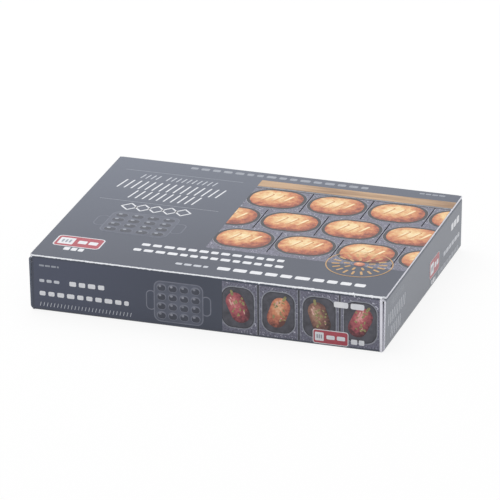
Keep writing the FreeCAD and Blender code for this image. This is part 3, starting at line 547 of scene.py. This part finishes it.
# Rows of bars: ink, upper left, lower right, lengths, gap, seed and corner.
# Strokes: ink, upper left, lower right, pitch, width and slant. Icons: inks, upper left, lower right, line.
topPrint = {
    "smallBars": (
        ("paleInk", (60, 6.4), (202, 10.6), (5, 8), 2.6, 3, 1.2),
        ("paleInk", (241, 5.4), (261, 7.6), (2, 5), 0.9, 5, 0.4),
    ),
    "rules": (25.0, 85.0),
    "ruleMiddle": 60.0,
    "ruleHalf": (47.0, 0.25),
    "strokes": (
        ("lightInk", (30, 31), (91, 39), 4.1, 1.0, 0.25, (4,)),  # the fifth is left out
        ("whiteInk", (19, 44), (104, 60.5), 5.6, 1.25, 0.2),
        ("whiteInk", (34, 63), (88, 78.5), 5.6, 1.25, 0.2),
    ),
    "diamondsAt": (40, 50.6, 61.2, 71.8, 82.4),
    "diamondsDown": 95,
    "diamondHalf": (5.0, 5.0),
    "diamondLine": 1.25,
    "icon": (("faintInk", "plateInk", "plateDark", "paleInk"), (24, 106), (94, 146), 0.9),
    "badge": ((9, 161.6), (45.6, 181)),
    "bars": (
        ("whiteInk", (20.2, 182.2), (35.6, 187.6), (4, 6), 1.2, 7, 0.8),
        ("whiteInk", (73, 158.8), (186, 163.2), (5, 8), 2.2, 11, 1.1),
        ("whiteInk", (70, 169.4), (189, 173.8), (5, 8), 2.2, 13, 1.1),
        ("lightInk", (108, 186), (133, 189.4), (4, 6), 1.6, 17, 0.9),
        ("whiteInk", (140, 184.6), (258, 190), (7, 11), 2.6, 19, 1.3),
    ),
}
rollPicture = {
    "window": (119.4, 16.0, 272.6, 153.0),
    "wood": 28.6,             # the table shows down to here
    "rim": (0.0, 1.4),        # the griddle's rim and its shadow, from there
    "rimShadow": (-0.5, 2.6),
    "rollHalf": (20.2, 15.8),
    "rollCorner": 14.5,
    "first": 22.0,            # from the window's left side to the first whole roll
    "pitch": 47.5,
    "rows": (49.0, 89.0, 129.0),
    "socket": 2.4,
    "socketRim": 2.9,
    "scores": (-8.5, 0.0, 8.5),
    "scoreRise": 2.0,
    "scoreTurn": -24,         # degrees
    "scoreHalf": (1.1, 7.0),
    "crustHalf": (1.4, 7.6),
    "crustShift": 0.5,
    "jointHalf": (0.35, 19.2),
}
emblem = {
    "middle": (237.0, 150.4),
    "half": (25.0, 23.3),
    "line": 0.8,
    "rays": ((9, 9.6, 2.4, 0.9), (18, 17.6, 3.0, 0.9)),  # how many, how far out, half length and half width
    "squash": 0.93,
    "centreHalf": (4.2, 3.6),
}


def printRolls():
    r = rollPicture
    window = r["window"]
    block("top", "ironInk", window[:2], window[2:], radius=0)
    block("top", "woodInk", window[:2], (window[2], r["wood"]), radius=0, layer=2)
    for ink, (above, below), layer in (("ironDark", r["rimShadow"], 2.5), ("ironRim", r["rim"], 3)):
        block("top", ink, (window[0], r["wood"] + above), (window[2], r["wood"] + below), radius=0,
              layer=layer)
    for row, v in enumerate(r["rows"]):
        for column in range(-1, 4):
            middle = (window[0] + r["first"] + (column + 0.5 * (row % 2)) * r["pitch"], v)
            for ink, grow, layer in (("ironRim", r["socketRim"], 2), ("ironDark", r["socket"], 3),
                                     ("rollInk", 0.0, 4)):
                around("top", ink, middle, (r["rollHalf"][0] + grow, r["rollHalf"][1] + grow),
                       radius=r["rollCorner"] + grow, layer=layer, window=window, rounds=10)
            for shift in r["scores"]:
                score = (middle[0] + shift, v - r["scoreRise"])
                around("top", "crustInk", (score[0] + r["crustShift"], score[1]), r["crustHalf"],
                       radius=r["crustHalf"][0], turn=r["scoreTurn"], layer=4.5, window=window)
                around("top", "scoreInk", score, r["scoreHalf"], radius=r["scoreHalf"][0],
                       turn=r["scoreTurn"], layer=5, window=window)
            for i in (-0.5, 0.5):
                around("top", "ironDark", (middle[0] + i * r["pitch"], v), r["jointHalf"], radius=0,
                       layer=1.5, window=window)


def printEmblem():
    e = emblem
    around("top", "goldInk", e["middle"], e["half"], radius=30, line=e["line"], layer=6, rounds=16)
    for count, out, *half in e["rays"]:
        for i in range(count):
            angle = math.tau * (i + 0.5) / count
            middle = (e["middle"][0] + out * math.cos(angle),
                      e["middle"][1] + out * e["squash"] * math.sin(angle))
            around("top", "goldInk", middle, half, radius=0.7, turn=-math.degrees(angle), layer=6)
    around("top", "carrotInk", e["middle"], e["centreHalf"], radius=5, layer=6, rounds=6)


def printTop():
    t = topPrint
    for row in t["smallBars"]:
        barLine("top", *row)
    for v in t["rules"]:
        around("top", "paleInk", (t["ruleMiddle"], v), t["ruleHalf"], radius=0)
    for band in t["strokes"]:
        hatchBand("top", *band)
    for u in t["diamondsAt"]:
        around("top", "whiteInk", (u, t["diamondsDown"]), t["diamondHalf"], radius=0.8,
               line=t["diamondLine"], turn=45, rounds=3)
    printPlateIcon("top", *t["icon"])
    printBadge("top", *t["badge"])
    for row in t["bars"]:
        barLine("top", *row)
    printRolls()
    printEmblem()


frontPrint = {
    "bars": (
        ("paleInk", (7.6, 6.7), (23, 8.1), (2, 4), 0.8, 23, 0.4),
        ("lightInk", (7.6, 18.3), (26, 20.6), (3, 4.4), 1.7, 27, 0.8),
        ("whiteInk", (31, 17.7), (59, 21.3), (4.4, 6), 2.1, 29, 0.9),
        ("whiteInk", (7.6, 27.8), (77, 31.3), (4.6, 6.4), 2.2, 31, 1.0),
    ),
    "strokes": ("lightInk", (8, 36.6), (81, 39.8), 2.7, 0.5, 0.25),
    "icon": (("iconInk", "plateInk", "plateDark", "ironRim"), (90.4, 7.9), (140.6, 40.4), 0.8),
    "overBar": ("whiteInk", (234, 7.4), (257, 11.9), (8, 13), 1.8, 33, 1.3),
    "badge": ((218, 30.8), (245, 41.9)),
    "underBar": ("whiteInk", (247, 35.7), (257, 39.6), (4, 5), 1.2, 37, 0.7),
    "layer": 10,  # these three lie on the picture
}
pepperPicture = {
    "window": (149.0, 2.1, 268.6, 41.5),
    "wells": (161.0, 192.0, 223.0, 254.0),
    "down": 21.8,
    "wellHalf": (13.2, 16.8),
    "wellCorner": 9.0,
    "joints": (145.5, 176.5, 207.5, 238.5, 269.5),
    "jointHalf": (1.1, 21.2),
    "jointDark": (0.6, 21.2),
    "foods": ("pepperInk", "carrotInk", "onionInk", "pepperInk"),
    "turns": (24, -20, 18, -26),  # degrees
    "foodHalf": (7.2, 12.2),
    "foodCorner": 7.4,
    "details": (  # a stem and the shine on a glazed skin: ink, place across and along, half sizes, degrees
        ("herbInk", 0.4, 12.2, (1.0, 2.3), -9),
        ("shineInk", -3.6, 5.6, (0.55, 2.6), 0),
        ("shineInk", -2.0, 8.6, (0.5, 1.0), 9),
        ("shineInk", 3.2, -4.6, (0.4, 1.7), -9),
    ),
    "herbs": 14,
    "herbsAcross": (-4, 5),
    "herbsDown": (-8, 7),
    "herbLong": (0.5, 1.5),  # half sizes
    "herbWide": (0.4, 0.8),
    "seed": 83,
}


def printPeppers(face):
    p = pepperPicture
    window, v = p["window"], p["down"]
    block(face, "ironInk", window[:2], window[2:], radius=0)
    for u in p["joints"]:
        around(face, "ironRim", (u, v), p["jointHalf"], radius=0, layer=1.5, window=window)
        around(face, "ironDark", (u, v), p["jointDark"], radius=0, layer=2, window=window)
    for i, u in enumerate(p["wells"]):
        for ink, grow, layer in (("ironRim", 0.0, 3), ("ironDark", -0.9, 4), ("wellInk", -1.5, 5)):
            around(face, ink, (u, v), (p["wellHalf"][0] + grow, p["wellHalf"][1] + grow),
                   radius=p["wellCorner"] + grow, layer=layer, window=window, rounds=8)
        around(face, p["foods"][i], (u, v), p["foodHalf"], radius=p["foodCorner"], turn=p["turns"][i],
               layer=6, window=window, rounds=8)
        turn = math.radians(p["turns"][i])
        for ink, across, along, half, twist in p["details"]:
            middle = (u + across * math.cos(turn) - along * math.sin(turn),
                      v - along * math.cos(turn) - across * math.sin(turn))
            around(face, ink, middle, half, radius=half[0], turn=p["turns"][i] + twist, layer=7,
                   window=window)
        draw = random.Random(p["seed"] + i)
        for k in range(p["herbs"]):
            middle = (u + draw.uniform(*p["herbsAcross"]), v + draw.uniform(*p["herbsDown"]))
            half = (draw.uniform(*p["herbLong"]), draw.uniform(*p["herbWide"]))
            around(face, "herbInk", middle, half, radius=0.5, turn=draw.uniform(0, 180), layer=8 + 0.1 * k,
                   window=window)


def printFront(face):
    f = frontPrint
    for row in f["bars"]:
        barLine(face, *row)
    hatchBand(face, *f["strokes"])
    printPlateIcon(face, *f["icon"])
    printPeppers(face)
    barLine(face, *f["overBar"], layer=f["layer"])
    printBadge(face, *f["badge"], layer=f["layer"])
    barLine(face, *f["underBar"], layer=f["layer"])


endPrint = {
    "strokes": (
        ("paleInk", (14, 7.9), (46, 12.8), 3.4, 0.7, 0.25),
        ("lightInk", (9, 16.6), (52, 25.9), 4.6, 1.2, 0.15),
        ("lightInk", (16, 28.7), (44, 37.9), 4.6, 1.2, 0.15),
    ),
    "badge": ((116.6, 20.2), (142.4, 34.5)),
    "bars": (
        ("whiteInk", (122, 36.8), (133, 40.0), (3, 5), 1.0, 43, 0.6),
        ("whiteInk", (174, 12.3), (197, 17.7), (5, 8), 1.2, 47, 1.0),
        ("lightInk", (154, 27.0), (197, 30.4), (4, 7), 1.4, 53, 0.8),
        ("paleInk", (140, 36.6), (197, 39.8), (4, 7), 1.4, 59, 0.8),
    ),
}


def printEnd(face):
    for band in endPrint["strokes"]:
        hatchBand(face, *band)
    printBadge(face, *endPrint["badge"], border=badge["endBorder"])
    for row in endPrint["bars"]:
        barLine(face, *row)


# Columns: first row, left side, top, pitch, right side, how ragged, repeat, lengths and seed.
bottomPrint = {
    "box": ((20, 22), (126, 100)),
    "boxLine": 0.5,
    "rows": 6,
    "columns": ((0, 24, 30, 12, 120, 8, 3, (6, 16), 61), (0, 24, 120, 10, 236, 10, 2, (6, 18), 71)),
    "tall": 3,
    "gap": 2.4,
    "corner": 0.8,
    "icon": (("faintInk", "plateInk", "plateDark", "paleInk"), (146, 28), (250, 96), 1.2),
}
leafletPrint = {
    "heading": ("faintInk", (8, 9), (80, 13), (12, 20), 3, 89, 1),
    "rows": 9,
    "columns": ((0, 8, 22, 8, 68, 6, 3, (5, 12), 90), (6, 78, 22, 8, 140, 9, 2, (5, 12), 100)),
    "tall": 2,
    "gap": 1.8,
    "corner": 0.6,
    "icon": (("paleInk", "lightInk", "faintInk", "whiteInk"), (82, 20), (138, 60), 0.8),
}


def printColumns(face, p):
    for i in range(p["rows"]):
        for first, left, top, pitch, right, ragged, repeat, word, seed in p["columns"]:
            if i >= first:
                v = top + pitch * i
                barLine(face, "paleInk", (left, v), (right - ragged * (i % repeat), v + p["tall"]), word,
                        p["gap"], seed + i, p["corner"])
    printPlateIcon(face, *p["icon"])


printTop()
printFront("front")
printFront("back")
printEnd("rightEnd")
printEnd("leftEnd")
block("bottom", "paleInk", *bottomPrint["box"], radius=2, line=bottomPrint["boxLine"])
printColumns("bottom", bottomPrint)
barLine("leaflet", *leafletPrint["heading"])
printColumns("leaflet", leafletPrint)
for (face, ink), sheet in sheets.items():
    placed, body = faces[face]
    bmesh.ops.transform(sheet, matrix=placed, verts=sheet.verts)
    piece = addPiece(f"{face}_{ink}", sheet, inks[ink])
    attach(piece, body)
print("print laid on", len(sheets), "sheets")


def plainBoard(name, dark, light, grainSize, relief, roughness, edges=()):
    material, tree, surface = newMaterial(name)
    coords = addNode(tree, "TexCoord")
    fibre = addNode(tree, "TexNoise", {"Vector": coords.outputs["Object"], "Scale": 1 / (grainSize * mm),
                                       "Detail": 5.0, "Roughness": 0.65})
    spread = addNode(tree, "MapRange", {0: fibre.outputs["Fac"], 1: noiseSpan[0], 2: noiseSpan[1]})
    colour = addNode(tree, "Mix", {0: spread, 6: srgb(dark), 7: srgb(light)}, data_type="RGBA")
    # painted shade in the flute hollows of each cut edge
    for edge in edges:
        shadedHollow = flutedEdge(tree, coords, edge)
        colour = addNode(tree, "Mix", {0: shadedHollow, 6: colour.outputs[2], 7: srgb(edge["shade"])},
                         data_type="RGBA")
    bump = addNode(tree, "Bump", {"Strength": 0.5, "Distance": relief * mm, "Height": fibre.outputs["Fac"]})
    tree.links.new(colour.outputs[2], surface.inputs["Base Color"])
    tree.links.new(bump.outputs[0], surface.inputs["Normal"])
    surface.inputs["Roughness"].default_value = roughness
    return material


# Kraft corrugated board: matt, brown and fibrous, with the wave of its flutes in every cut edge and painted
# shade in the hollows between them.
kraft = {
    "dark": "#8f6d49",
    "light": "#ad8a60",
    # painted shade in the hollows between the flutes of a cut edge
    "shade": "#4f3822",
    "pitch": 6.1,
    "board": 3.0,
    "padWall": 2.5,  # the cover pad has two walls of flutes
    "fibre": 1.6,
    "relief": 0.05,
    "roughness": 0.85,
}


# Each cut edge: the axis through the board, where the board starts along it and the way of the wave.
def kraftBoard(name, *edges, board=kraft["board"]):
    cut = [{"through": axis, "start": start, "board": board, "along": along, "pitch": kraft["pitch"],
            "shade": kraft["shade"]} for axis, start, along in edges]
    return plainBoard(name, kraft["dark"], kraft["light"], kraft["fibre"], kraft["relief"],
                      kraft["roughness"], cut)


trayBoard = kraftBoard("kraftTray", ("Y", packing["trayWall"], (1, 0, 1)),
                       ("Z", packing["trayFoot"], (1, 1, 0)))
padBoard = kraftBoard("kraftPad", ("Z", packing["padFoot"], (1, 1, 0)),
                      ("Z", packing["padMiddle"], (1, 1, 0)), board=kraft["padWall"])
cradleBoard = kraftBoard("kraftCradle")
# Uncoated wood-free paper: matt and a little warm.
leafletPaper = plainBoard("uncoatedPaper", "#e6e6e2", "#f1f1ee", grainSize=0.8, relief=0.01, roughness=0.8)
# Sand-cast iron with a baked-on oil seasoning: nearly black, a dull sheen broken by the sand's grain.
castIron = plainBoard("seasonedCastIron", "#161617", "#272728", grainSize=0.9, relief=0.25, roughness=0.46)

finishes = {
    "glue_flap": boards["rightDust"],
    "inner_tray": trayBoard,
    "cover_pad": padBoard,
    "takoyaki_plate": castIron,
    "leaflet": leafletPaper,
}
for panel in ("top", "bottom", "front", "back"):
    finishes[f"{panel}_panel"] = boards[panel]
for side in ("right", "left"):
    finishes[f"{side}_closure"] = boards[side]
    finishes[f"{side}_tuck_flap"] = boards[f"{side}Tuck"]
    finishes[f"{side}_front_dust_flap"] = finishes[f"{side}_back_dust_flap"] = boards[f"{side}Dust"]
    finishes[f"{side}_end_cradle"] = cradleBoard
for node, material in finishes.items():
    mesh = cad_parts[node].data
    mesh.materials.clear()
    mesh.materials.append(material)
print("finishes on", len(finishes), "nodes")


creaseSkin = {
    "panelArm": 2.6,    # how far the liner runs back along the fixed panel from where the boards meet
    "flapArm": 1.6,     # and along the hinged one
    "thick": 0.3,
    "sunk": 0.03,       # it lies this deep in the board
    "bend": 0.6,
    "bulge": 0.4,       # how far a dust flap's fold stands proud of its face
    "segments": 28,
    "closureRun": (-100.8, 100.8),
    "dustRun": (-18.0, 18.0),
    "dustMiddle": 20.4,  # height of the middle of a dust flap's fold
}


def turnedUp(along, radius):  # a point past the start of a right-angled bend, from the corner it rounds off
    quarter = radius * math.pi / 2
    if along <= 0:
        return Vector((along - radius, 0, 0))
    if along >= quarter:
        return Vector((0, 0, radius + along - quarter))
    turn = along / radius
    return Vector((radius * (math.sin(turn) - 1), 0, radius * (1 - math.cos(turn))))


# Paper over a crease, from the sleeve to a flap that is hinged to it. The crease is at corner, outward is
# the way out of the carton's end and rise the way that the flap stands.
def creaseLiner(name, corner, outward, rise, run, material, radius=0.0):
    c = creaseSkin
    rise, outward = Vector(rise), Vector(outward)
    seam = radius * math.asin(1 - carton["board"] / radius) if radius else 0.0
    sheet = bmesh.new()
    bmesh.ops.create_grid(sheet, x_segments=c["segments"], y_segments=1, size=0.5)
    bmesh.ops.scale(sheet, vec=(c["panelArm"] + c["flapArm"], run[1] - run[0], 1), verts=sheet.verts)
    bmesh.ops.translate(sheet, vec=(seam + (c["flapArm"] - c["panelArm"]) / 2, (run[0] + run[1]) / 2, 0),
                        verts=sheet.verts)
    for v in sheet.verts:
        v.co = turnedUp(v.co.x, radius) + Vector((0, v.co.y, 0))
    sheet.normal_update()
    bmesh.ops.solidify(sheet, geom=sheet.faces[:], thickness=-c["thick"])
    bmesh.ops.translate(sheet, vec=(-c["sunk"], 0, c["sunk"]), verts=sheet.verts)
    placed = Matrix((outward, rise.cross(outward), rise)).transposed().to_4x4()
    placed = Matrix.Translation(Vector(corner) * mm) @ placed @ Matrix.Scale(mm, 4)
    bmesh.ops.transform(sheet, matrix=placed, verts=sheet.verts)
    bmesh.ops.recalc_face_normals(sheet, faces=sheet.faces)
    piece = addPiece(name, sheet, material)
    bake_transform(piece)


for side, sign, up in (("right", 1, rightUp), ("left", -1, leftUp)):
    creaseLiner(f"{side}_closure_liner", (sign * hl, 0, 0), (sign, 0, 0), up,
                creaseSkin["closureRun"], boards[f"{side}Crease"], carton["endFold"])
    dust = boards["rightDust"] if sign > 0 else boards["leftDustCrease"]
    for end, way in (("front", -1), ("back", 1)):
        corner = (sign * (carton["dustFace"] + creaseSkin["bulge"]), way * hd, creaseSkin["dustMiddle"])
        creaseLiner(f"{side}_{end}_dust_liner", corner, (sign, 0, 0), (0, -way, 0),
                    creaseSkin["dustRun"], dust)

cornerStub = {  # the fold above and below a dust flap
    "depth": 1.3,
    "reach": 1.7,
    "round": 0.9,
    "spans": ((0.5, 2.34), (38.46, 42.0)),  # heights
    "rise": 0.5,                # the edges that are rounded rise more than this
    "outside": (133.0, 101.5),  # and lie past these
}
for side, sign in (("right", 1), ("left", -1)):
    for end, way in (("front", -1), ("back", 1)):
        c = cornerStub
        stub = bmesh.new()
        for low, high in c["spans"]:
            made = bmesh.ops.create_cube(stub, size=1.0)["verts"]
            bmesh.ops.scale(stub, vec=(c["reach"], c["depth"], high - low), verts=made)
            middle = (sign * (carton["panelEnd"] + c["reach"] / 2), way * (hd - c["depth"] / 2),
                      (low + high) / 2)
            bmesh.ops.translate(stub, vec=middle, verts=made)
        outer = [d for d in stub.edges if abs(d.verts[0].co.z - d.verts[1].co.z) > c["rise"]
                 and all(abs(v.co.x) > c["outside"][0] and abs(v.co.y) > c["outside"][1] for v in d.verts)]
        bmesh.ops.bevel(stub, geom=outer, offset=c["round"], segments=4, profile=0.5, affect="EDGES",
                        material=-1)
        bmesh.ops.scale(stub, vec=(mm, mm, mm), verts=stub.verts)
        piece = addPiece(f"{side}_{end}_corner", stub, boards[f"{side}Dust"])
        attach(piece, "sleeve")
print("creases lined")


studio = {
    "floorHalf": 30.0,   # metres
    "floorDrop": 0.2,    # millimetres, clear of the ink on the underside
    "floor": "#f4f4f4",
    "floorRoughness": 0.9,
    "whiteShare": 0.88,  # how much of the floor is plain white to the eye, the rest shows the shadow
    "worldFill": 0.62,
    "keyPower": 60.0,
    "keySize": 3.0,
    "keyAt": (-0.8, 0.9, 2.6),  # metres
}


def plainlySeen(tree):  # 1 for rays from the eye, from gloss and through glass
    rays = addNode(tree, "LightPath")
    seen = addNode(tree, "Math", {0: rays.outputs["Is Camera Ray"], 1: rays.outputs["Is Glossy Ray"]},
                   operation="MAXIMUM")
    return addNode(tree, "Math", {0: seen, 1: rays.outputs["Is Transmission Ray"]}, operation="MAXIMUM")


# Seamless background paper: matt, without any sheen.
material, tree, surface = newMaterial("paleFloor")
surface.inputs["Base Color"].default_value = srgb(studio["floor"])
surface.inputs["Roughness"].default_value = studio["floorRoughness"]
surface.inputs["Specular IOR Level"].default_value = 0.0
seen = plainlySeen(tree)
share = addNode(tree, "Math", {0: seen, 1: studio["whiteShare"]}, operation="MULTIPLY")
white = addNode(tree, "Emission", {"Color": (1, 1, 1, 1), "Strength": 1.0})
mixed = addNode(tree, "MixShader", {0: share, 1: surface, 2: white})
tree.links.new(mixed.outputs[0], tree.nodes["Material Output"].inputs["Surface"])
ground = bmesh.new()
bmesh.ops.create_grid(ground, x_segments=1, y_segments=1, size=studio["floorHalf"])
bmesh.ops.translate(ground, vec=(0, 0, -studio["floorDrop"] * mm), verts=ground.verts)
addPiece("studioFloor", ground, material)

world = bpy.data.worlds.new("studioWorld")
bpy.context.scene.world = world
world.use_nodes = True
tree = world.node_tree
tree.nodes.clear()
seen = plainlySeen(tree)
strength = addNode(tree, "MapRange", {0: seen, 3: studio["worldFill"], 4: 1.0})
sky = addNode(tree, "Background", {"Color": (1, 1, 1, 1), "Strength": strength})
addNode(tree, "OutputWorld", {"Surface": sky})

key = bpy.data.lights.new("softKey", "AREA")
key.shape = "SQUARE"
key.size = studio["keySize"]
key.energy = studio["keyPower"]
keyLamp = bpy.data.objects.new("softKey", key)
bpy.context.scene.collection.objects.link(keyLamp)
keyLamp.location = studio["keyAt"]
keyLamp.rotation_euler = (-Vector(studio["keyAt"])).to_track_quat("-Z", "Y").to_euler()
keyLamp.visible_camera = False
keyLamp.visible_glossy = False

view = {
    "azimuth": 18.11,   # degrees towards +x from the front
    "elevation": 22.949,
    "roll": -0.398,
    "distance": 3831.5,
    "aim": (1.032, 21.075),  # the camera sits this far right and up of the axis through the origin
    "lens": 369.38,
    "sensor": 36.0,
    "farthest": 200.0,  # metres
}
az, el, roll = (math.radians(view[k]) for k in ("azimuth", "elevation", "roll"))
toEye = Vector((math.sin(az) * math.cos(el), -math.cos(az) * math.cos(el), math.sin(el)))
level = (-toEye).cross(Vector((0, 0, 1))).normalized()
upright = level.cross(-toEye)
acrossView = level * math.cos(roll) + upright * math.sin(roll)
upView = upright * math.cos(roll) - level * math.sin(roll)
lens = bpy.data.cameras.new("camera")
lens.lens = view["lens"]
lens.sensor_width = view["sensor"]
lens.clip_end = view["farthest"]
camera = bpy.data.objects.new("camera", lens)
bpy.context.scene.collection.objects.link(camera)
turned = Matrix((acrossView, upView, toEye)).transposed().to_4x4()
turned.translation = (acrossView * view["aim"][0] + upView * view["aim"][1] + toEye * view["distance"]) * mm
camera.matrix_world = turned
bpy.context.scene.camera = camera
bpy.context.scene.view_settings.view_transform = "Standard"
print("studio set")
